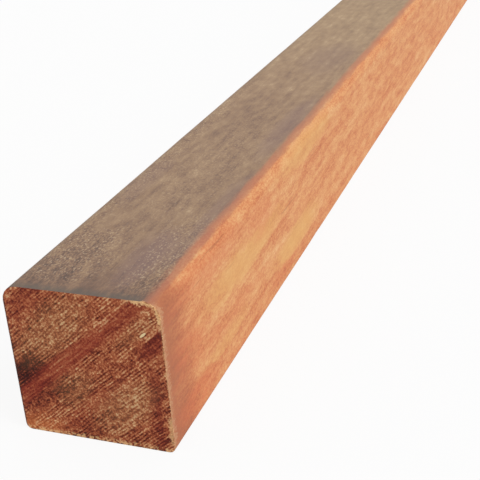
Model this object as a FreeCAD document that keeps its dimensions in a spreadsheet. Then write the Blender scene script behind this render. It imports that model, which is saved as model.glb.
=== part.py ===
import FreeCAD, Part
import math
import os

import Sketcher

# A planed hardwood post: one length of square stock, its four long arrises eased and
# its two ends sawn square across the grain. It lies on its underside.
#
# Frame: the origin is the middle of the underside, X runs across the section,
# Y along the grain and Z up. Sizes are in millimetres.

# Driving dimensions: alias in the sheet, value, what it measures.
SIZES = (
    ("post_length", 1800.0, "along the grain, from sawn end to sawn end"),
    ("post_width", 65.0, "across the section, from side face to side face"),
    ("post_height", 65.0, "from the underside to the top face"),
    ("top_arris_radius", 6.5, "rounding of the two long upper arrises"),
    ("bottom_arris_radius", 2.5, "rounding of the two long lower arrises"),
)

# The part of a round corner's square that the rounding leaves empty.
CORNER_LOSS = 1.0 - math.pi / 4.0
# How closely the built volume follows the section's area times the length.
VOLUME_TOLERANCE = 1e-6

# Ends of a line or an arc, as the sketcher numbers them.
START = 1
END = 2
# The sketch's own horizontal and vertical axes.
HORIZONTAL_AXIS = -1
VERTICAL_AXIS = -2


def make_sheet(doc):
    """Put the driving dimensions into a spreadsheet, one aliased cell each."""
    sheet = doc.addObject("Spreadsheet::Sheet", "sizes")
    for row, (alias, value, meaning) in enumerate(SIZES, start=1):
        sheet.set(f"A{row}", alias)
        sheet.set(f"B{row}", str(value))
        sheet.set(f"C{row}", meaning)
        sheet.setAlias(f"B{row}", alias)
    doc.recompute()
    return sheet


def origin_plane(body, role):
    """Return the body's own origin plane with this role."""
    return next(item for item in body.Origin.OriginFeatures if item.Role == role)


def corner_arc(centre_x, centre_y, radius, first_degrees):
    """Return a quarter circle that starts at this angle and turns anticlockwise."""
    centre = FreeCAD.Vector(centre_x, centre_y, 0)
    circle = Part.Circle(centre, FreeCAD.Vector(0, 0, 1), radius)
    first = math.radians(first_degrees)
    return Part.ArcOfCircle(circle, first, first + math.pi / 2.0)


def straight(start, end):
    """Return a straight edge of the section between two (x, y) points."""
    return Part.LineSegment(FreeCAD.Vector(*start, 0), FreeCAD.Vector(*end, 0))


def draw_section(sketch, sheet):
    """Draw the section anticlockwise from its underside: four faces and four arrises."""
    half = sheet.post_width / 2.0
    height = sheet.post_height
    top = sheet.top_arris_radius
    bottom = sheet.bottom_arris_radius

    underside = sketch.addGeometry(straight((bottom - half, 0), (half - bottom, 0)))
    lower_right = sketch.addGeometry(corner_arc(half - bottom, bottom, bottom, -90))
    right = sketch.addGeometry(straight((half, bottom), (half, height - top)))
    upper_right = sketch.addGeometry(corner_arc(half - top, height - top, top, 0))
    upper = sketch.addGeometry(straight((half - top, height), (top - half, height)))
    upper_left = sketch.addGeometry(corner_arc(top - half, height - top, top, 90))
    left = sketch.addGeometry(straight((-half, height - top), (-half, bottom)))
    lower_left = sketch.addGeometry(corner_arc(bottom - half, bottom, bottom, 180))

    # Each edge runs smoothly into the next, all the way round.
    outline = (underside, lower_right, right, upper_right, upper, upper_left, left, lower_left)
    for edge, following in zip(outline, outline[1:] + outline[:1]):
        sketch.addConstraint(Sketcher.Constraint("Tangent", edge, END, following, START))

    # The underside lies on the horizontal axis, centred on the vertical one.
    sketch.addConstraint(
        Sketcher.Constraint("Symmetric", underside, START, underside, END, VERTICAL_AXIS)
    )
    sketch.addConstraint(
        Sketcher.Constraint("PointOnObject", underside, START, HORIZONTAL_AXIS)
    )
    sketch.addConstraint(Sketcher.Constraint("Horizontal", upper))
    sketch.addConstraint(Sketcher.Constraint("Vertical", left))
    sketch.addConstraint(Sketcher.Constraint("Vertical", right))

    # Left and right arrises match, above and below.
    sketch.addConstraint(Sketcher.Constraint("Equal", upper_right, upper_left))
    sketch.addConstraint(Sketcher.Constraint("Equal", lower_right, lower_left))

    # The four sizes of the section follow the sheet.
    drive(
        sketch,
        Sketcher.Constraint("DistanceX", left, END, right, START, sheet.post_width),
        "section_width",
        "post_width",
    )
    drive(
        sketch,
        Sketcher.Constraint("DistanceY", underside, END, upper, START, height),
        "section_height",
        "post_height",
    )
    drive(
        sketch,
        Sketcher.Constraint("Radius", upper_right, top),
        "upper_rounding",
        "top_arris_radius",
    )
    drive(
        sketch,
        Sketcher.Constraint("Radius", lower_right, bottom),
        "lower_rounding",
        "bottom_arris_radius",
    )


def drive(sketch, constraint, name, alias):
    """Add a sized constraint and bind it to an aliased cell of the sheet."""
    index = sketch.addConstraint(constraint)
    sketch.renameConstraint(index, name)
    sketch.setExpression(f"Constraints.{name}", f"sizes.{alias}")


def make_post(doc, sheet):
    """Build the post: its section drawn upright, then run both ways along the grain."""
    body = doc.addObject("PartDesign::Body", "post")
    body.Label = "post"

    section = body.newObject("Sketcher::SketchObject", "post_section")
    section.AttachmentSupport = [(origin_plane(body, "XZ_Plane"), "")]
    section.MapMode = "FlatFace"
    draw_section(section, sheet)
    doc.recompute()

    grain = body.newObject("PartDesign::Pad", "post_grain")
    grain.Profile = section
    grain.SideType = "Symmetric"
    grain.setExpression("Length", "sizes.post_length")
    body.Tip = grain
    body.Placement = FreeCAD.Placement()
    doc.recompute()
    return body


def section_area(sheet):
    """Return the area that the post's section should have."""
    roundings = sheet.top_arris_radius ** 2 + sheet.bottom_arris_radius ** 2
    return sheet.post_width * sheet.post_height - 2.0 * CORNER_LOSS * roundings


def check_model(doc, sheet, body):
    """Raise an error unless every object is sound and the post is one full solid."""
    for item in doc.Objects:
        if "Invalid" in item.State or "Error" in item.State:
            raise RuntimeError(f"{item.Label} failed: {item.State}")
    shape = body.Shape
    if shape.isNull() or not shape.isValid():
        raise RuntimeError(f"{body.Label} has no valid shape")
    if len(shape.Solids) != 1:
        raise RuntimeError(f"{body.Label} has {len(shape.Solids)} solids")
    expected = section_area(sheet) * sheet.post_length
    if abs(shape.Volume / expected - 1.0) > VOLUME_TOLERANCE:
        raise RuntimeError(f"{body.Label} holds {shape.Volume} mm3, not {expected} mm3")


def main():
    doc = FreeCAD.newDocument("hardwood_post")
    sheet = make_sheet(doc)
    post = make_post(doc, sheet)
    check_model(doc, sheet, post)

    os.makedirs("parts", exist_ok=True)
    post.Shape.exportStep(f"parts/{post.Label}.step")
    box = post.Shape.BoundBox
    print(f"{post.Label}: {box.XLength:.3f} x {box.YLength:.3f} x {box.ZLength:.3f} mm")


main()
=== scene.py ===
import logging
import math
import random
from dataclasses import dataclass
from enum import Enum
from typing import Callable, Iterable

import bmesh
import bpy
from mathutils import Matrix, Vector


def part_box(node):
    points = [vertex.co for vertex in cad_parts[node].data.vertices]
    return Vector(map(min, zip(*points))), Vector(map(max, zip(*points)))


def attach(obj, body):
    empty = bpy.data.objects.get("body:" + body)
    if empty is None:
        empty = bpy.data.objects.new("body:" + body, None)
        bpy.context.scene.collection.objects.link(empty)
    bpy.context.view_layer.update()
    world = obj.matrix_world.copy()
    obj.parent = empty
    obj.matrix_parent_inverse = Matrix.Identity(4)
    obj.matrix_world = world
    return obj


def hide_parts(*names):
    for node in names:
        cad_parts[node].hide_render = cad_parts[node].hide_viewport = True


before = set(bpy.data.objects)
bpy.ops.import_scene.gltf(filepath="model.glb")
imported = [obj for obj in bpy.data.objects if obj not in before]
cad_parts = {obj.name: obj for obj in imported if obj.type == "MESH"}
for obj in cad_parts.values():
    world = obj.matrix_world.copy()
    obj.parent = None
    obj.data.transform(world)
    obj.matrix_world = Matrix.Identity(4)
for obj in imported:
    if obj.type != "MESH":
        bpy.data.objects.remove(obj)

# A planed hardwood post lying on its underside. The grain runs along Y; the near end
# is the one at low Y. Lengths are in metres unless a name ends in _mm.

MM = 0.001
MM_PER_METRE = 1000.0
NODE = "post"
BODY = "root"
MAP_NAME = "OFBake"
# A face belongs to an end if its normal reaches further than this along Y.
END_NORMAL = 0.7
# Corners this close to a level are on it, and corners this close to a cut are part of it.
LEVEL_MARGIN = 1e-6
CUT_MARGIN = 1e-7
# The sockets of a Mix node that carry colours: the amount, the two colours and the result.
MIX_AMOUNT = 0
MIX_BASE = 6
MIX_OVER = 7
MIX_RESULT = 2

Colour = tuple[float, float, float]

logger = logging.getLogger("hardwood_post")


def srgb(red: int, green: int, blue: int) -> Colour:
    """Return a display colour, each part from 0 to 255, as a linear one."""
    def linear(part: float) -> float:
        """Return one linear part of a display colour."""
        return part / 12.92 if part <= 0.04045 else ((part + 0.055) / 1.055) ** 2.4

    return linear(red / 255), linear(green / 255), linear(blue / 255)


# ---------------------------------------------------------------- node sheets


class Value:
    """A number from a node, which arithmetic joins to more Math nodes."""

    def __init__(self, sheet: "Sheet", socket: bpy.types.NodeSocket) -> None:
        """Keep the socket and the sheet that it is on."""
        self.sheet = sheet
        self.socket = socket

    def math(
        self, operation: str, *others: "Value | float", first: "Value | float | None" = None
    ) -> "Value":
        """Return a Math node's result on this value and others.

        Args:
            operation: the Math node's operation.
            others: the values after this one.
            first: a value that goes before this one.

        Returns:
            The result, as a value.
        """
        values = [self, *others] if first is None else [first, self]
        return self.sheet.node("ShaderNodeMath", {"operation": operation}, dict(enumerate(values)))

    def __add__(self, other: "Value | float") -> "Value":
        """Return the sum."""
        return self.math("ADD", other)

    def __radd__(self, other: float) -> "Value":
        """Return the sum, this value second."""
        return self.math("ADD", first=other)

    def __sub__(self, other: "Value | float") -> "Value":
        """Return the difference."""
        return self.math("SUBTRACT", other)

    def __rsub__(self, other: float) -> "Value":
        """Return the difference, this value second."""
        return self.math("SUBTRACT", first=other)

    def __mul__(self, other: "Value | float") -> "Value":
        """Return the product."""
        return self.math("MULTIPLY", other)

    def __rmul__(self, other: float) -> "Value":
        """Return the product, this value second."""
        return self.math("MULTIPLY", first=other)

    def __truediv__(self, other: "Value | float") -> "Value":
        """Return the quotient."""
        return self.math("DIVIDE", other)

    def __abs__(self) -> "Value":
        """Return the size without its sign."""
        return self.math("ABSOLUTE")

    def at_most(self, other: "Value | float") -> "Value":
        """Return the smaller of the two."""
        return self.math("MINIMUM", other)

    def at_least(self, other: "Value | float") -> "Value":
        """Return the larger of the two."""
        return self.math("MAXIMUM", other)


class Sheet:
    """A node tree under construction, for a material or for a shape."""

    def __init__(self, tree: bpy.types.NodeTree) -> None:
        """Take over a tree and empty it."""
        self.tree = tree
        tree.nodes.clear()

    def node(
        self,
        kind: str,
        settings: dict | None = None,
        inputs: dict | None = None,
        output: int | str = 0,
    ) -> Value | None:
        """Add a node.

        Args:
            kind: the node's type.
            settings: attributes of the node, set before its sockets.
            inputs: values or links of its sockets, by name or number.
            output: which of its outputs to return, by name or number.

        Returns:
            That output as a value, or None where the node has no outputs.
        """
        made = self.tree.nodes.new(kind)
        for name, setting in (settings or {}).items():
            setattr(made, name, setting)
        for key, given in (inputs or {}).items():
            if isinstance(given, Value):
                self.tree.links.new(given.socket, made.inputs[key])
            else:
                made.inputs[key].default_value = given
        return Value(self, made.outputs[output]) if made.outputs else None

    def vector(self, x: Value | float, y: Value | float, z: Value | float) -> Value:
        """Return a vector of three numbers."""
        return self.node("ShaderNodeCombineXYZ", inputs={0: x, 1: y, 2: z})

    def ramp(self, value: Value, low: float, high: float) -> Value:
        """Return a smooth step, 0 where the value is at low and 1 where it is at high."""
        return self.node(
            "ShaderNodeMapRange",
            {"interpolation_type": "SMOOTHSTEP"},
            {0: value, 1: low, 2: high, 3: 0.0, 4: 1.0},
        )

    def tint(self, amount: Value | float, base: Value | Colour, over: Value | Colour) -> Value:
        """Lay one colour over another.

        Args:
            amount: how much of the upper colour shows, from 0 to 1.
            base: the colour underneath.
            over: the colour laid on it.

        Returns:
            The mixed colour.
        """
        inputs = {
            MIX_AMOUNT: amount,
            MIX_BASE: base if isinstance(base, Value) else (*base, 1.0),
            MIX_OVER: over if isinstance(over, Value) else (*over, 1.0),
        }
        return self.node("ShaderNodeMix", {"data_type": "RGBA"}, inputs, MIX_RESULT)

    def gradient(self, value: Value, stops: Iterable[tuple[float, Colour]]) -> Value:
        """Pick a colour from a run of colours.

        Args:
            value: the place to read, from 0 to 1.
            stops: the colours, each with its own place.

        Returns:
            The colour at that place.
        """
        made = self.node("ShaderNodeValToRGB", inputs={0: value})
        elements = made.socket.node.color_ramp.elements
        for count, (place, colour) in enumerate(stops):
            stop = elements[count] if count < 2 else elements.new(place)
            stop.position = place
            stop.color = (*colour, 1.0)
        return made

    def noise(
        self, x: Value, y: Value, z: Value | float, detail: float = 2.0, roughness: float = 0.5
    ) -> Value:
        """Return smooth noise from 0 to 1 whose grains are about one unit across."""
        return self.node(
            "ShaderNodeTexNoise",
            {"noise_dimensions": "3D"},
            {
                "Vector": self.vector(x, y, z),
                "Scale": 1.0,
                "Detail": detail,
                "Roughness": roughness,
            },
        )


# ------------------------------------------------------------ patterns of the timber


@dataclass(frozen=True)
class Patch:
    """A soft-edged mark on the timber, longer one way than the other."""

    along_mm: float
    across_mm: float
    reach_mm: float
    width_mm: float
    strength: float


class Timber:
    """The patterns that run through the timber, in millimetres."""

    RING_TURN = math.radians(41.0)
    RING_PITCH_MM = 1.25

    def __init__(self, sheet: Sheet, position: Value, height_mm: float) -> None:
        """Split a position in metres into millimetres.

        Args:
            sheet: the node sheet that the patterns go on.
            position: the place on the post, in metres.
            height_mm: the post's height.
        """
        self.sheet = sheet
        parts = sheet.node("ShaderNodeSeparateXYZ", inputs={0: position}).socket.node.outputs
        self.x, self.y, self.z = (Value(sheet, part) * MM_PER_METRE for part in parts)
        up = self.z - height_mm / 2
        cosine = math.cos(self.RING_TURN)
        sine = math.sin(self.RING_TURN)
        # On the sawn ends: along the growth rings, and across them.
        self.along = self.x * cosine + up * sine
        flat_across = up * cosine - self.x * sine
        wander = sheet.noise(self.along / 45.0, flat_across / 25.0, 3.7, 2.0) * 4.0 - 2.0
        self.across = flat_across + wander
        # Fine grain differs from one end to the other.
        self.depth = self.y / 300.0

    def streaks(
        self, across_mm: float, along_mm: float, seed: float, detail: float = 2.0, roughness: float = 0.5
    ) -> Value:
        """Return noise drawn out along the grain, from 0 to 1."""
        return self.sheet.noise(
            self.x / across_mm + seed, self.y / along_mm + seed, self.z / across_mm, detail, roughness
        )

    def rings(self, width_mm: float, length_mm: float, seed: float, detail: float = 2.0) -> Value:
        """Return noise on the ends, drawn out along the growth rings, from 0 to 1."""
        return self.sheet.noise(
            self.across / width_mm, self.along / length_mm, self.depth + seed, detail
        )

    def grain(self, size_mm: float, seed: float, detail: float = 1.0) -> Value:
        """Return even-sided noise on the ends, from 0 to 1."""
        return self.sheet.noise(self.x / size_mm, self.z / size_mm, self.depth + seed, detail, 0.6)

    def ring_lines(self) -> Value:
        """Draw the narrow growth rings on the ends.

        Returns:
            The rings, from 0 to 1, clear in some places and even in others.
        """
        bend = self.grain(11.0, 1.3) * 5.0
        lines = (self.across * (math.tau / self.RING_PITCH_MM) + bend).math("SINE") * 0.5 + 0.5
        clear = self.sheet.ramp(self.grain(8.0, 8.1), 0.34, 0.62)
        return lines * clear + (1.0 - clear) * 0.5

    def grit(self) -> Value:
        """Return the torn fibre ends on the sawn ends, from 0 to 1."""
        torn = self.sheet.noise(self.across / 0.75, self.along / 0.95, self.depth + 12.0, 3.0, 0.7)
        return self.sheet.ramp(torn, 0.28, 0.72)

    def patch(self, mark: Patch, along: Value, across: Value) -> Value:
        """Draw a mark.

        Args:
            mark: where it lies, how far it reaches and how strong it is.
            along: the place to test, the way that the mark reaches.
            across: the place to test, the other way.

        Returns:
            How strongly the mark shows there, from 0 to its strength.
        """
        one_way = (along - mark.along_mm) / mark.reach_mm
        other_way = (across - mark.across_mm) / mark.width_mm
        far = one_way * one_way + other_way * other_way
        return self.sheet.ramp(far, 1.5, 0.0) * mark.strength

    def patches(self, marks: Iterable[Patch], along: Value, across: Value) -> Value:
        """Draw several marks.

        Args:
            marks: the marks.
            along: the place to test, the way that the marks reach.
            across: the place to test, the other way.

        Returns:
            Their strengths there, added up.
        """
        total = 0.0
        for mark in marks:
            total = self.patch(mark, along, across) + total
        return total


# ---------------------------------------------------------------------- finishes


@dataclass(frozen=True)
class LongGrain:
    """The planed faces: fresh orange wood, weathered grey-brown on top."""

    width_mm: float
    height_mm: float
    near_end_mm: float
    fresh: tuple = (
        (0.08, srgb(160, 86, 58)),
        (0.3, srgb(198, 114, 74)),
        (0.5, srgb(216, 143, 94)),
        (0.7, srgb(226, 168, 114)),
        (0.92, srgb(236, 194, 144)),
    )
    grey: tuple = (
        (0.05, srgb(98, 80, 72)),
        (0.3, srgb(134, 107, 90)),
        (0.5, srgb(157, 128, 103)),
        (0.7, srgb(174, 145, 116)),
        (0.95, srgb(216, 190, 158)),
    )
    ember: Colour = srgb(212, 100, 66)
    honey: Colour = srgb(226, 178, 108)
    hair: Colour = srgb(138, 78, 54)
    blush: Colour = srgb(184, 116, 90)
    plum: Colour = srgb(138, 112, 106)
    slate: Colour = srgb(100, 93, 86)
    straw: Colour = srgb(184, 160, 124)
    dry_end: Colour = srgb(204, 156, 116)
    # Painted shade: the brown laid near the sawn end, standing in for the arris's shade.
    painted_shade_brown: Colour = srgb(168, 106, 76)
    ember_marks: tuple = (
        Patch(20.0, 34.0, 20.0, 11.0, 0.75),
        Patch(24.0, 8.0, 26.0, 8.0, 0.8),
        Patch(40.0, 57.0, 60.0, 6.0, 0.6),
        Patch(112.0, 49.0, 22.0, 9.0, 0.55),
        Patch(140.0, 7.0, 22.0, 5.0, 0.6),
        Patch(70.0, 24.0, 50.0, 3.5, 0.35),
    )
    honey_marks: tuple = (
        Patch(88.0, 41.0, 55.0, 8.0, 0.7),
        Patch(164.0, 17.0, 40.0, 8.0, 0.85),
        Patch(60.0, 15.0, 30.0, 5.0, 0.4),
        Patch(190.0, 58.0, 50.0, 7.0, 0.6),
    )
    plum_marks: tuple = (
        Patch(34.0, 14.0, 26.0, 9.0, 0.6),
        Patch(80.0, 25.0, 50.0, 6.0, 0.4),
        Patch(198.0, 21.0, 50.0, 7.0, 0.5),
        Patch(110.0, -22.0, 30.0, 6.0, 0.25),
        Patch(330.0, 8.0, 40.0, 18.0, 0.3),
    )
    dash_marks: tuple = (
        Patch(34.0, 21.0, 44.0, 12.0, 0.9),
        Patch(28.0, -16.0, 28.0, 18.0, 0.9),
        Patch(150.0, -26.0, 130.0, 8.0, 0.7),
        Patch(130.0, 2.0, 80.0, 20.0, 0.35),
    )

    def material(self) -> bpy.types.Material:
        """Build the finish.

        Returns:
            The finish as a material.
        """
        made = bpy.data.materials.new("planed_long_grain")
        made.use_nodes = True
        sheet = Sheet(made.node_tree)
        place = sheet.node("ShaderNodeTexCoord", output="Object")
        wood = Timber(sheet, place, self.height_mm)
        along = wood.y - self.near_end_mm
        grit = sheet.ramp(wood.streaks(0.8, 1.6, 3.0, 2.0, 0.65), 0.3, 0.7)
        fibres = wood.streaks(0.6, 9.0, 2.0, 3.0, 0.6)
        fresh = self.fresh_wood(sheet, wood, along, grit, fibres)
        weathered = self.weathered_wood(sheet, wood, along, grit, fibres)
        share = self.top_share(sheet, wood)
        colour = sheet.tint(share, fresh, weathered)
        colour = sheet.tint(share * (1.0 - share) * 2.4, colour, self.blush)
        raised = wood.streaks(1.3, 30.0, 5.0)
        relief = fibres * 0.5 + raised * 0.6 + grit * 0.3
        normal = sheet.node(
            "ShaderNodeBump",
            inputs={"Strength": 0.6, "Distance": 0.00022, "Height": relief},
        )
        shader = sheet.node(
            "ShaderNodeBsdfPrincipled",
            inputs={
                "Base Color": colour,
                "Roughness": 0.65 + grit * 0.15,
                "Normal": normal,
                "Specular IOR Level": 0.3,
            },
        )
        sheet.node("ShaderNodeOutputMaterial", inputs={"Surface": shader})
        return made

    def top_share(self, sheet: Sheet, wood: Timber) -> Value:
        """Find where the top's weathering shows.

        Args:
            sheet: the node sheet.
            wood: the timber's patterns.

        Returns:
            1 on the top and 0 on the sides, ragged between. It runs further down over the
            left arris than over the right.
        """
        ragged = (wood.streaks(2.0, 18.0, 31.0, 3.0) - 0.5) * 5.0
        from_side = self.width_mm / 2 - abs(wood.x)
        dropped = self.height_mm - wood.z
        further = sheet.ramp(wood.x, 5.0, -5.0) * 8.0
        return sheet.ramp(from_side - dropped + ragged + further, 0.0, 8.0)

    def fresh_wood(
        self, sheet: Sheet, wood: Timber, along: Value, grit: Value, fibres: Value
    ) -> Value:
        """Colour the side faces, with a painted brown shade near the sawn end.

        Args:
            sheet: the node sheet.
            wood: the timber's patterns.
            along: how far the place is from the near end, in millimetres.
            grit: the fine specks of the planed surface.
            fibres: the fine fibres of the planed surface.

        Returns:
            The colour.
        """
        broad = wood.streaks(10.0, 70.0, 11.0) - 0.5
        mottle = wood.streaks(4.5, 15.0, 17.0, 3.0, 0.6) - 0.5
        narrow = wood.streaks(1.6, 60.0, 19.0, 2.0) - 0.5
        behind = sheet.ramp(along, 34.0, 4.0)
        tone = 0.56 + broad * 0.36 + mottle * 0.62 + narrow * 0.3 - behind * 0.18
        tone = tone + (grit - 0.5) * 0.28 + (fibres - 0.5) * 0.2
        colour = sheet.gradient(tone, self.fresh)
        shown_side = sheet.ramp(wood.x, 0.0, 10.0)
        there = along + mottle * 30.0, wood.z + broad * 10.0 + mottle * 8.0
        uneven = sheet.ramp(mottle + narrow * 0.5, -0.28, 0.12)
        honey = wood.patches(self.honey_marks, *there) * shown_side
        colour = sheet.tint(honey * 0.7, colour, self.honey)
        ember = (wood.patches(self.ember_marks, *there) * shown_side + behind * 0.3) * uneven
        colour = sheet.tint(ember.at_most(1.0) * 0.5, colour, self.ember)
        hairs = sheet.ramp(wood.streaks(1.3, 45.0, 61.0, 1.0), 0.7, 0.78)
        colour = sheet.tint(hairs * 0.3, colour, self.hair)
        # Painted shade: a brown tint within about 32 mm of the sawn end stands in for the shade on the
        # arris there.
        brown = sheet.ramp(along + mottle * 24.0, 32.0, 0.0)
        colour = sheet.tint(brown * 0.7, colour, self.painted_shade_brown)
        # The last of the grain, dried out by the sawn end.
        dry = sheet.ramp(along + mottle * 6.0 + (grit - 0.5) * 3.4, 3.4, 0.4)
        return sheet.tint(dry * 0.7, colour, self.dry_end)

    def weathered_wood(
        self, sheet: Sheet, wood: Timber, along: Value, grit: Value, fibres: Value
    ) -> Value:
        """Colour the top face.

        Args:
            sheet: the node sheet.
            wood: the timber's patterns.
            along: how far the place is from the near end, in millimetres.
            grit: the fine specks of the planed surface.
            fibres: the fine fibres of the planed surface.

        Returns:
            The colour.
        """
        clouds = wood.streaks(14.0, 40.0, 41.0, 2.0) - 0.5
        bands = wood.streaks(3.6, 50.0, 43.0, 3.0) - 0.5
        blotch = wood.streaks(4.0, 9.0, 47.0, 2.0) - 0.5
        there = along + clouds * 30.0, wood.x + bands * 9.0
        busy = (wood.patches(self.dash_marks, *there) + 0.3).at_most(1.2)
        tone = 0.5 + clouds * 0.34 + bands * 0.44 + blotch * 0.56 + (fibres - 0.5) * 0.26
        tone = tone + (grit - 0.5) * 0.34 * busy
        tone = tone - sheet.ramp(along, 60.0, 0.0) * 0.2 + sheet.ramp(along, 120.0, 420.0) * 0.08
        colour = sheet.gradient(tone, self.grey)
        colour = sheet.tint(wood.patches(self.plum_marks, *there), colour, self.plum)
        colour = sheet.tint(sheet.ramp(along, 230.0, 460.0) * 0.25, colour, self.straw)
        dashes = sheet.ramp(wood.streaks(0.75, 1.5, 53.0, 1.0), 0.58, 0.7) * busy
        dashes = dashes * sheet.ramp(along + blotch * 8.0, 5.0, 12.0)
        colour = sheet.tint(dashes * 0.4, colour, self.grey[-1][1])
        edge = sheet.ramp(along + bands * 8.0 + blotch * 3.0, 6.0, 0.5)
        return sheet.tint(edge * 0.7, colour, self.slate)


@dataclass(frozen=True)
class SawnEnd:
    """The cross-cut ends: dark red-brown end grain, ridged by the saw."""

    width_mm: float
    height_mm: float
    arris_mm: float
    tones: tuple = (
        (0.0, srgb(58, 20, 16)),
        (0.25, srgb(118, 48, 32)),
        (0.5, srgb(174, 90, 57)),
        (0.72, srgb(208, 134, 90)),
        (0.98, srgb(244, 200, 150)),
    )
    red: Colour = srgb(158, 52, 40)
    orange: Colour = srgb(226, 130, 72)
    olive: Colour = srgb(166, 126, 84)
    # Painted shade, for the dark lines down the end's left edge and along its foot.
    painted_shade: Colour = srgb(64, 42, 34)
    rim: Colour = srgb(255, 206, 148)
    bare: Colour = srgb(255, 229, 176)
    chip: Patch = Patch(30.7, -2.7, 1.7, 0.5, 1.0)
    tone_marks: tuple = (
        Patch(-26.0, 14.5, 14.0, 6.0, -0.44),
        Patch(-2.0, 21.0, 22.0, 9.0, 0.07),
        Patch(0.0, 33.0, 18.0, 7.0, -0.06),
        Patch(0.5, -20.0, 18.0, 8.0, 0.09),
        Patch(-12.0, -2.0, 13.0, 7.0, -0.1),
        Patch(-27.0, 3.0, 14.0, 5.0, -0.16),
        Patch(31.0, -8.0, 10.0, 3.0, -0.26),
        Patch(25.0, -4.0, 16.0, 1.8, 0.18),
        Patch(37.0, 1.0, 10.0, 6.0, 0.1),
        Patch(-25.0, -17.0, 10.0, 5.0, -0.12),
        Patch(-36.0, -6.0, 12.0, 6.0, 0.12),
    )
    red_marks: tuple = (
        Patch(-10.0, 8.0, 24.0, 4.6, 0.75),
        Patch(24.0, 7.6, 26.0, 4.0, 0.6),
        Patch(-34.0, 7.0, 12.0, 4.0, 0.7),
        Patch(31.0, -8.0, 10.0, 4.0, 0.5),
        Patch(-3.0, 35.0, 26.0, 7.0, 0.25),
        Patch(-8.0, -12.0, 22.0, 4.0, 0.3),
    )
    olive_marks: tuple = (
        Patch(-2.0, 21.0, 26.0, 10.0, 0.5),
        Patch(0.5, -20.0, 20.0, 9.0, 0.5),
        Patch(-12.0, -2.0, 12.0, 7.0, 0.45),
        Patch(28.0, 0.0, 12.0, 4.0, 0.3),
    )

    def material(self) -> bpy.types.Material:
        """Build the finish.

        Returns:
            The finish as a material.
        """
        made = bpy.data.materials.new("sawn_end_grain")
        made.use_nodes = True
        sheet = Sheet(made.node_tree)
        place = sheet.node("ShaderNodeTexCoord", output="Object")
        wood = Timber(sheet, place, self.height_mm)
        lines = wood.ring_lines()
        grit = wood.grit()
        colour = self.colour(sheet, wood, lines, grit)
        relief = lines * 0.5 + grit * 0.8
        normal = sheet.node(
            "ShaderNodeBump",
            inputs={"Strength": 0.8, "Distance": 0.0004, "Height": relief},
        )
        shader = sheet.node(
            "ShaderNodeBsdfPrincipled",
            inputs={
                "Base Color": colour,
                "Roughness": 0.8 + grit * 0.15,
                "Normal": normal,
                "Specular IOR Level": 0.25,
            },
        )
        sheet.node("ShaderNodeOutputMaterial", inputs={"Surface": shader})
        return made

    def colour(self, sheet: Sheet, wood: Timber, lines: Value, grit: Value) -> Value:
        """Colour the end grain, out to its frayed edges, with painted shade along its left edge and
        foot.

        Args:
            sheet: the node sheet.
            wood: the timber's patterns.
            lines: the growth rings.
            grit: the torn fibre ends.

        Returns:
            The colour.
        """
        broad = wood.rings(5.0, 50.0, 4.0) - 0.5
        fine = wood.rings(1.7, 14.0, 9.0) - 0.5
        soft = wood.along + broad * 16.0, wood.across + fine * 5.0
        mottled = wood.patches(self.olive_marks, *soft)
        smooth = wood.patches(self.red_marks, *soft).at_most(0.8)
        tone = 0.505 + broad * 0.44 + fine * 0.8 + (lines - 0.5) * 0.36 * (1.0 - smooth * 0.7)
        tone = tone + (grit - 0.5) * (0.5 + mottled * 0.15 - smooth * 0.15)
        tone = tone + (wood.grain(2.2, 21.0, 2.0) - 0.5) * (1.0 + mottled * 0.9 - smooth * 0.5)
        tone = tone + wood.patches(self.tone_marks, *soft)
        # A dark stripe stands upright near the right side.
        upright = sheet.ramp(abs(wood.x + fine * 8.0 - 27.0), 4.0, 0.5) * sheet.ramp(wood.z, 42.0, 28.0)
        tone = tone - upright * 0.2
        colour = sheet.gradient(tone, self.tones)
        colour = sheet.tint((smooth + upright * 0.4).at_most(0.8) * 0.5, colour, self.red)
        colour = sheet.tint(mottled * 0.5, colour, self.olive)
        corner = sheet.ramp(wood.x + fine * 12.0, -10.0, -26.0)
        corner = corner * sheet.ramp(wood.z + fine * 12.0, 11.0, 2.0)
        colour = sheet.tint(corner * 0.45, colour, self.orange)
        chip = wood.patch(self.chip, wood.along + fine * 2.0, wood.across)
        colour = sheet.tint((chip * 2.0).at_most(1.0), colour, self.bare)
        # Painted shade: dark lines down the left edge, where the rounded arris turns from the light, and
        # along the foot by the floor.
        left = sheet.ramp(wood.x + self.width_mm / 2 + (grit - 0.5) * 0.8, 1.1, 0.3)
        colour = sheet.tint(left * 0.6, colour, self.painted_shade)
        foot = sheet.ramp(wood.z + (grit - 0.5) * 0.8, 0.9, 0.2)
        colour = sheet.tint(foot * 0.5, colour, self.painted_shade)
        return sheet.tint(self.frayed(sheet, wood, grit), colour, self.rim)

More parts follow.
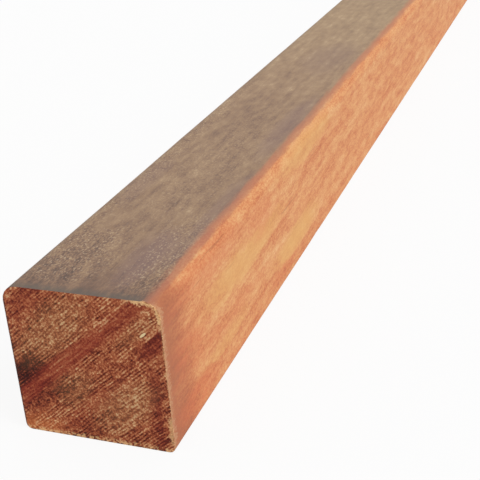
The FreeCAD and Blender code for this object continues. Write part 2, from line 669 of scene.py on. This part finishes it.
    def frayed(self, sheet: Sheet, wood: Timber, grit: Value) -> Value:
        """Find the pale broken fibre round the upper right arris, down the right and by the floor.

        Args:
            sheet: the node sheet.
            wood: the timber's patterns.
            grit: the torn fibre ends.

        Returns:
            The share of pale fibre, from 0 to 1.
        """
        ragged = (grit - 0.5) * 1.4 + (wood.grain(2.2, 33.0) - 0.5) * 4.0
        over = (wood.x - (self.width_mm / 2 - self.arris_mm)).at_least(0.0)
        above = (wood.z - (self.height_mm - self.arris_mm)).at_least(0.0)
        out = (over * over + above * above).math("SQRT")
        near_arris = sheet.ramp(wood.x, 17.0, 24.0) * sheet.ramp(wood.z, 52.0, 58.0)
        arris = sheet.ramp(out + ragged, self.arris_mm - 1.8, self.arris_mm - 0.4) * near_arris
        from_right = self.width_mm / 2 - wood.x
        right = sheet.ramp(from_right - ragged * 0.3, 0.5, 0.0) * 0.4
        low_right = sheet.ramp(from_right - ragged, 2.2, 0.4) * sheet.ramp(
            abs(wood.z - 10.0), 8.0, 4.0
        )
        tufts = sheet.ramp(wood.grain(1.5, 44.0), 0.42, 0.58)
        lower = sheet.ramp(wood.z - ragged * 0.6, 2.3, 0.9) * tufts
        return arris.at_least(right).at_least(low_right * 0.6).at_least(lower * 0.8)


@dataclass(frozen=True)
class LooseFibre:
    """The pale broken fibres along the sawn edges."""

    pale: Colour = srgb(252, 206, 152)
    tan: Colour = srgb(176, 112, 72)
    patch_mm: float = 1.8
    patch_length_mm: float = 6.0

    def material(self) -> bpy.types.Material:
        """Build the finish.

        Returns:
            The finish as a material.
        """
        made = bpy.data.materials.new("loose_fibre")
        made.use_nodes = True
        sheet = Sheet(made.node_tree)
        place = sheet.node("ShaderNodeTexCoord", output="Object")
        parts = sheet.node("ShaderNodeSeparateXYZ", inputs={0: place}).socket.node.outputs
        x, y, z = (Value(sheet, part) * MM_PER_METRE for part in parts)
        patches = sheet.noise(x / self.patch_mm, y / self.patch_length_mm, z / self.patch_mm, 1.0)
        share = sheet.ramp(patches, 0.4, 0.6)
        shader = sheet.node(
            "ShaderNodeBsdfPrincipled",
            inputs={
                "Base Color": sheet.tint(share, self.tan, self.pale),
                "Roughness": 0.85,
                "Specular IOR Level": 0.2,
            },
        )
        sheet.node("ShaderNodeOutputMaterial", inputs={"Surface": shader})
        return made


# ------------------------------------------------------------------------- modelling


def deselect_all() -> None:
    """Leave nothing selected and nothing active."""
    bpy.ops.object.select_all(action="DESELECT")
    bpy.context.view_layer.objects.active = None


def pick(mesh: bpy.types.Mesh, kind: str, test: Callable) -> None:
    """Select the faces or edges of the mesh in edit mode that pass a test.

    Args:
        mesh: the mesh in edit mode.
        kind: "faces" or "edges".
        test: takes a face or an edge and says whether to select it.
    """
    # In the mode of its own kind, a selection takes in none of its neighbours.
    bpy.ops.mesh.select_mode(type="FACE" if kind == "faces" else "EDGE")
    bpy.ops.mesh.select_all(action="DESELECT")
    cage = bmesh.from_edit_mesh(mesh)
    cage.normal_update()
    for item in getattr(cage, kind):
        if test(item):
            item.select_set(True)
    cage.select_flush_mode()
    bmesh.update_edit_mesh(mesh)


def cut_across(axis: int, place: float) -> None:
    """Cut what is selected by a plane square to an axis.

    Args:
        axis: 0, 1 or 2 for X, Y or Z.
        place: where the plane stands on that axis.
    """
    normal = [0.0, 0.0, 0.0]
    normal[axis] = 1.0
    point = [0.0, 0.0, 0.0]
    point[axis] = place
    bpy.ops.mesh.bisect(plane_co=point, plane_no=normal, threshold=CUT_MARGIN)


class Side(Enum):
    """A side of the post, with its number on the piece's own map."""

    TOP = 0
    RIGHT = 1
    UNDER = 2
    LEFT = 3
    NEAR_END = 4
    FAR_END = 5

    @staticmethod
    def of(normal: Vector) -> "Side":
        """Tell the sides apart.

        Args:
            normal: a face's normal.

        Returns:
            The side that the face belongs to.
        """
        if abs(normal.y) > END_NORMAL:
            return Side.NEAR_END if normal.y < 0.0 else Side.FAR_END
        if abs(normal.z) > abs(normal.x):
            return Side.TOP if normal.z > 0.0 else Side.UNDER
        return Side.RIGHT if normal.x > 0.0 else Side.LEFT


def is_end(face: bmesh.types.BMFace | bpy.types.MeshPolygon) -> bool:
    """Return whether a face lies across the grain."""
    return Side.of(face.normal) in (Side.NEAR_END, Side.FAR_END)


@dataclass(frozen=True)
class Post:
    """The post: its size, its arrises and how finely its surface is divided."""

    low: Vector
    high: Vector
    top_arris: float = 6.5 * MM
    bottom_arris: float = 2.5 * MM
    top_facets: int = 5
    bottom_facets: int = 3
    smooth_angle: float = math.radians(62.0)
    side_cell: float = 1.45 * MM
    end_splits: int = 3
    near_step: float = 4.0 * MM
    step_growth: float = 1.022
    map_strips: int = 8
    strip_pitch: float = 0.09
    end_patch: float = 0.26
    map_gap: float = 0.005

    @property
    def width(self) -> float:
        """Return the size across the section."""
        return self.high.x - self.low.x

    @property
    def height(self) -> float:
        """Return the size from the underside to the top."""
        return self.high.z - self.low.z

    def build(self) -> bpy.types.Object:
        """Model the post and dress it.

        Returns:
            The finished piece, its place in its mesh.
        """
        deselect_all()
        piece = self.blank()
        self.ease_arrises(piece)
        self.divide(piece)
        self.lay_out(piece)
        self.dress(piece)
        self.roughen(piece)
        bpy.ops.object.shade_smooth_by_angle(angle=self.smooth_angle)
        return piece

    def blank(self) -> bpy.types.Object:
        """Saw the blank.

        Returns:
            The blank, square-edged, before its arrises are eased.
        """
        centre = (self.low + self.high) / 2
        bpy.ops.mesh.primitive_cube_add(size=1.0, location=centre, scale=self.high - self.low)
        piece = bpy.context.active_object
        piece.name = "hardwood_post"
        bpy.ops.object.transform_apply(location=True, rotation=True, scale=True)
        return piece

    def ease_arrises(self, piece: bpy.types.Object) -> None:
        """Round the two upper long edges and the two lower ones.

        Args:
            piece: the square-edged blank.
        """
        bpy.ops.object.mode_set(mode="EDIT")
        for level, radius, facets in (
            (self.high.z, self.top_arris, self.top_facets),
            (self.low.z, self.bottom_arris, self.bottom_facets),
        ):
            def on_level(edge: bmesh.types.BMEdge) -> bool:
                """Test an edge.

                Args:
                    edge: the edge.

                Returns:
                    Whether it is a long one at this level.
                """
                ends = [corner.co for corner in edge.verts]
                long = abs(ends[0].y - ends[1].y) > self.width
                return long and all(abs(end.z - level) < LEVEL_MARGIN for end in ends)

            pick(piece.data, "edges", on_level)
            bpy.ops.mesh.bevel(offset=radius, segments=facets, profile=0.5, affect="EDGES")
        bpy.ops.object.mode_set(mode="OBJECT")

    def divide(self, piece: bpy.types.Object) -> None:
        """Cut the surface into cells, finer on the ends and near them.

        Args:
            piece: the blank with its arrises eased.
        """
        bpy.ops.object.mode_set(mode="EDIT")
        self.cut_section(0, self.low.x, self.high.x)
        self.cut_section(2, self.low.z, self.high.z)
        for place in self.rungs():
            bpy.ops.mesh.select_all(action="SELECT")
            cut_across(1, place)
        for axis, start, end in ((0, self.low.x, self.high.x), (2, self.low.z, self.high.z)):
            cells = round((end - start) / self.side_cell) * self.end_splits
            for count in range(1, cells):
                if count % self.end_splits:
                    pick(piece.data, "faces", is_end)
                    cut_across(axis, start + (end - start) * count / cells)
        bpy.ops.object.mode_set(mode="OBJECT")

    def cut_section(self, axis: int, start: float, end: float) -> None:
        """Cut the whole post lengthwise into cells between two sides.

        Args:
            axis: the axis that runs from one side to the other.
            start: where the first side lies on it.
            end: where the second side lies on it.
        """
        cells = round((end - start) / self.side_cell)
        for count in range(1, cells):
            bpy.ops.mesh.select_all(action="SELECT")
            cut_across(axis, start + (end - start) * count / cells)

    def rungs(self) -> Iterable[float]:
        """Place the cuts along the post.

        Yields:
            The place of each: one halfway, the rest in pairs, closer together near the ends.
        """
        middle = (self.low.y + self.high.y) / 2
        step = self.near_step
        reach = step
        yield middle
        while reach + step / 2 < self.high.y - middle:
            yield self.low.y + reach
            yield self.high.y - reach
            step *= self.step_growth
            reach += step

    def lay_out(self, piece: bpy.types.Object) -> None:
        """Give each face its place on the piece's own map.

        Args:
            piece: the divided post, still flat-faced.
        """
        mesh = piece.data
        layer = mesh.uv_layers.new(name=MAP_NAME)
        for face in mesh.polygons:
            side = Side.of(face.normal)
            for index in face.loop_indices:
                corner = mesh.vertices[mesh.loops[index].vertex_index].co
                layer.data[index].uv = self.map_place(side, face.center.y > 0.0, corner)

    def map_place(self, side: Side, far_half: bool, corner: Vector) -> tuple[float, float]:
        """Return where a corner of a face falls on the map.

        Args:
            side: the side that the face is on.
            far_half: whether the face is on the far half of the post.
            corner: the corner's place.

        Returns:
            The place, each way from 0 to 1: two strips for each long side, and the two ends
            above them.
        """
        across = (corner.x - self.low.x) / self.width
        upward = (corner.z - self.low.z) / self.height
        if side in (Side.NEAR_END, Side.FAR_END):
            column = side.value - Side.NEAR_END.value
            return (column + across) * self.end_patch + self.map_gap * (column + 1), (
                self.map_strips * self.strip_pitch + self.map_gap + upward * self.end_patch
            )
        along = (corner.y - self.low.y) / (self.high.y - self.low.y) * 2.0 - far_half
        turned = across if side in (Side.TOP, Side.UNDER) else upward
        row = side.value * 2 + far_half
        return (
            self.map_gap + along * (1.0 - 2.0 * self.map_gap),
            (row + turned) * self.strip_pitch - turned * self.map_gap + self.map_gap,
        )

    def dress(self, piece: bpy.types.Object) -> None:
        """Give the long faces and the ends their finishes.

        Args:
            piece: the divided post.
        """
        long_grain = LongGrain(self.width / MM, self.height / MM, self.low.y / MM)
        sawn_end = SawnEnd(self.width / MM, self.height / MM, self.top_arris / MM)
        piece.data.materials.append(long_grain.material())
        piece.data.materials.append(sawn_end.material())
        for face in piece.data.polygons:
            face.material_index = int(is_end(face))

    @staticmethod
    def share(slope: Value) -> Value:
        """Return 1 for a surface that leans clearly towards an axis and 0 for one square to it."""
        return (slope * 2.4 - 0.5).at_most(1.0).at_least(0.0)

    def roughen(self, piece: bpy.types.Object) -> None:
        """Move the surface to the relief of the sawn ends and the raised grain.

        Args:
            piece: the divided post, flat as planed.
        """
        tree = bpy.data.node_groups.new("post_relief", "GeometryNodeTree")
        tree.interface.new_socket("Geometry", in_out="INPUT", socket_type="NodeSocketGeometry")
        tree.interface.new_socket("Geometry", in_out="OUTPUT", socket_type="NodeSocketGeometry")
        sheet = Sheet(tree)
        mesh = sheet.node("NodeGroupInput")
        place = sheet.node("GeometryNodeInputPosition")
        wood = Timber(sheet, place, self.height / MM)
        facing = sheet.node("GeometryNodeInputNormal")
        parts = sheet.node("ShaderNodeSeparateXYZ", inputs={0: facing}).socket.node.outputs
        across, endways, upward = (Value(sheet, part) for part in parts)
        outward = sheet.node(
            "ShaderNodeVectorMath",
            {"operation": "NORMALIZE"},
            {0: sheet.vector(across, 0.0, upward)},
        )
        raised = wood.streaks(1.6, 28.0, 5.0) - 0.5
        swell = wood.streaks(16.0, 120.0, 9.0) - 0.5
        nicks = sheet.ramp(wood.streaks(2.5, 7.0, 14.0), 0.62, 0.8)
        on_arris = self.share(abs(across)) * self.share(abs(upward))
        on_end = sheet.ramp(abs(endways), 0.1, 0.3)
        # The outline of the ends stays put, and nothing sinks into the floor.
        side_lift = (raised * 0.12 + swell * 0.35 - nicks * on_arris * 0.7) * (1.0 - on_end)
        downward = sheet.ramp(upward, -0.3, -0.6)
        side_lift = (side_lift - downward * side_lift.at_least(0.0)) * MM
        moved_side = sheet.node(
            "ShaderNodeVectorMath", {"operation": "SCALE"}, {0: outward, "Scale": side_lift}
        )
        lines = wood.ring_lines() - 0.5
        rings = wood.rings(4.0, 40.0, 4.0) - 0.5
        torn = wood.grit() - 0.5
        from_side = self.width / MM / 2 - abs(wood.x)
        from_level = wood.z.at_most(self.height / MM - wood.z)
        inside = sheet.ramp(from_side.at_most(from_level), 0.0, 3.0) * 0.75 + 0.25
        end_lift = (lines * 0.16 + rings * 0.4 + torn * 0.3) * inside * MM
        signed = endways.math("SIGN") * on_end * end_lift
        offset = sheet.node(
            "ShaderNodeVectorMath",
            {"operation": "ADD"},
            {0: moved_side, 1: sheet.vector(0.0, signed, 0.0)},
        )
        moved = sheet.node(
            "GeometryNodeSetPosition", inputs={"Geometry": mesh, "Offset": offset}
        )
        sheet.node("NodeGroupOutput", inputs={0: moved})
        relief = piece.modifiers.new("relief", "NODES")
        relief.node_group = tree
        bpy.ops.object.modifier_apply(modifier=relief.name)


@dataclass(frozen=True)
class Tuft:
    """A run of loose fibres along the near end's outline."""

    start: Vector
    stop: Vector
    outward: Vector
    count: int
    longest: float


@dataclass(frozen=True)
class Fringe:
    """Loose fibres that the saw left round the near end."""

    post: Post
    thickness: float = 0.22 * MM
    tip_share: float = 0.15
    arris_runs: int = 9
    arris_fibres: int = 9
    arris_longest: float = 1.5 * MM
    side_fibres: int = 46
    side_longest: float = 0.8 * MM
    foot_fibres: int = 90
    foot_longest: float = 0.9 * MM
    foot_lift: float = 0.7 * MM
    seed: int = 7

    def tufts(self) -> Iterable[Tuft]:
        """Place the runs of fibres.

        Yields:
            The runs: round the upper right arris, down the right side, then along the foot.
        """
        post = self.post
        front = post.low.y
        radius = post.top_arris
        centre = Vector((post.high.x - radius, front, post.high.z - radius))
        for turn in range(self.arris_runs):
            angles = [math.pi / 2 * (turn + step) / self.arris_runs for step in (0, 1)]
            rays = [Vector((math.cos(angle), 0.0, math.sin(angle))) for angle in angles]
            ends = [centre + ray * radius for ray in rays]
            middle = (rays[0] + rays[1]) / 2
            yield Tuft(*ends, middle, self.arris_fibres, self.arris_longest)
        right, left = post.high.x, post.low.x
        low_corner = post.bottom_arris
        yield Tuft(
            Vector((right, front, centre.z)),
            Vector((right, front, post.low.z + low_corner)),
            Vector((1.0, 0.0, 0.0)),
            self.side_fibres,
            self.side_longest,
        )
        foot = post.low.z + self.foot_lift
        yield Tuft(
            Vector((right - low_corner, front, foot)),
            Vector((left + low_corner, front, foot)),
            Vector((0.0, 0.0, 0.5)),
            self.foot_fibres,
            self.foot_longest,
        )

    def build(self) -> bpy.types.Object:
        """Model the fibres as slim tapered slivers.

        Returns:
            The finished piece, its place in its mesh.
        """
        deselect_all()
        chance = random.Random(self.seed)
        mesh = bpy.data.meshes.new("sawn_edge_fibres")
        piece = bpy.data.objects.new("sawn_edge_fibres", mesh)
        bpy.context.scene.collection.objects.link(piece)
        piece.select_set(True)
        bpy.context.view_layer.objects.active = piece
        bpy.ops.object.mode_set(mode="EDIT")
        for tuft in self.tufts():
            for _ in range(tuft.count):
                self.sliver(tuft, chance)
        bpy.ops.object.mode_set(mode="OBJECT")
        mesh.materials.append(LooseFibre().material())
        return piece

    def sliver(self, tuft: Tuft, chance: random.Random) -> None:
        """Add one fibre, its root sunk into the edge and its tip leaning outwards.

        Args:
            tuft: the run that the fibre belongs to.
            chance: the source of its random place, lean and size.
        """
        root = tuft.start.lerp(tuft.stop, chance.random())
        lean = Vector((chance.uniform(-0.5, 0.5), -chance.uniform(0.3, 1.0), chance.uniform(-0.3, 0.3)))
        aim = (tuft.outward * chance.uniform(0.3, 1.2) + lean).normalized()
        length = tuft.longest * chance.uniform(0.4, 1.0)
        bpy.ops.mesh.primitive_cone_add(
            vertices=4,
            radius1=self.thickness * chance.uniform(0.5, 1.0),
            radius2=self.thickness * self.tip_share,
            depth=length,
            location=root + aim * length * 0.2,
            rotation=aim.to_track_quat("Z", "Y").to_euler(),
        )


# --------------------------------------------------------------------------- studio


def seen_rays(sheet: Sheet) -> Value:
    """Tell the rays that show a surface from those that light others.

    Args:
        sheet: the node sheet.

    Returns:
        1 for the rays that show it, and 0 for those that carry its light to the post.
    """
    rays = sheet.node("ShaderNodeLightPath").socket.node.outputs
    names = ("Is Camera Ray", "Is Glossy Ray", "Is Transmission Ray")
    camera, glossy, through = (Value(sheet, rays[name]) for name in names)
    return (camera + glossy + through).at_most(1.0)


@dataclass(frozen=True)
class Studio:
    """A pale floor, soft lamps and the camera."""

    near_end: float
    floor_size: float = 60.0
    floor_tone: Colour = (0.85, 0.85, 0.85)
    floor_glow: float = 0.9
    white: Colour = (1.0, 1.0, 1.0)
    world_strength: float = 0.6
    sun_energy: float = 1.4
    sun_angle: float = math.radians(30.0)
    sun_aim: Vector = Vector((-0.75, 0.15, -0.85))
    stand: Vector = Vector((0.17029, -0.26924, 0.22826))
    azimuth: float = math.radians(21.364)
    elevation: float = math.radians(25.080)
    roll: float = math.radians(-4.145)
    focal_mm: float = 72.843
    sensor_mm: float = 36.0
    nearest_seen: float = 0.01
    furthest_seen: float = 100.0

    def build(self) -> None:
        """Set up the floor, the light and the camera."""
        self.settings()
        self.floor()
        self.surround()
        self.lamps()
        self.camera()

    def settings(self) -> None:
        """Show colours as they are written."""
        bpy.context.scene.view_settings.view_transform = "Standard"

    def floor(self) -> None:
        """Lay the floor that the post rests on."""
        deselect_all()
        bpy.ops.mesh.primitive_plane_add(size=self.floor_size, location=(0.0, 0.0, 0.0))
        floor = bpy.context.active_object
        floor.name = "floor"
        made = bpy.data.materials.new("pale_floor")
        made.use_nodes = True
        sheet = Sheet(made.node_tree)
        matt = sheet.node("ShaderNodeBsdfDiffuse", inputs={"Color": (*self.floor_tone, 1.0)})
        white = sheet.node("ShaderNodeEmission", inputs={"Color": (*self.white, 1.0)})
        glow = seen_rays(sheet) * self.floor_glow
        mixed = sheet.node("ShaderNodeMixShader", inputs={0: glow, 1: matt, 2: white})
        sheet.node("ShaderNodeOutputMaterial", inputs={"Surface": mixed})
        floor.data.materials.append(made)

    def surround(self) -> None:
        """Light the post softly from all round, and show white behind it."""
        world = bpy.data.worlds.new("studio")
        bpy.context.scene.world = world
        world.use_nodes = True
        sheet = Sheet(world.node_tree)
        strength = seen_rays(sheet) * (1.0 - self.world_strength) + self.world_strength
        glow = sheet.node(
            "ShaderNodeBackground", inputs={"Color": (*self.white, 1.0), "Strength": strength}
        )
        sheet.node("ShaderNodeOutputWorld", inputs={"Surface": glow})

    def lamps(self) -> None:
        """Hang a broad soft lamp high to the right."""
        deselect_all()
        data = bpy.data.lights.new("key", "SUN")
        data.energy = self.sun_energy
        data.angle = self.sun_angle
        lamp = bpy.data.objects.new("key", data)
        bpy.context.scene.collection.objects.link(lamp)
        lamp.rotation_mode = "QUATERNION"
        lamp.rotation_quaternion = self.sun_aim.to_track_quat("-Z", "Y")

    def camera(self) -> None:
        """Stand the camera off the near end, looking down along the post."""
        data = bpy.data.cameras.new("camera")
        data.lens = self.focal_mm
        data.sensor_width = self.sensor_mm
        data.clip_start = self.nearest_seen
        data.clip_end = self.furthest_seen
        camera = bpy.data.objects.new("camera", data)
        bpy.context.scene.collection.objects.link(camera)
        back = Vector(
            (
                math.sin(self.azimuth) * math.cos(self.elevation),
                -math.cos(self.azimuth) * math.cos(self.elevation),
                math.sin(self.elevation),
            )
        )
        level = (-back).to_track_quat("-Z", "Y").to_matrix()
        turned = level @ Matrix.Rotation(self.roll, 3, "Z")
        place = self.stand + Vector((0.0, self.near_end, 0.0))
        camera.matrix_world = Matrix.Translation(place) @ turned.to_4x4()
        bpy.context.scene.camera = camera


# ----------------------------------------------------------------------------- main


def main() -> None:
    """Build the post and the studio around it."""
    logging.basicConfig(level=logging.INFO, format="%(message)s")
    low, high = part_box(NODE)
    post = Post(low, high)
    piece = post.build()
    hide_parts(NODE)
    for part in (piece, Fringe(post).build()):
        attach(part, BODY)
        logger.info("%s: %d faces", part.name, len(part.data.polygons))
    Studio(low.y).build()


if __name__ == "__main__":
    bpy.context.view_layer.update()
    main()
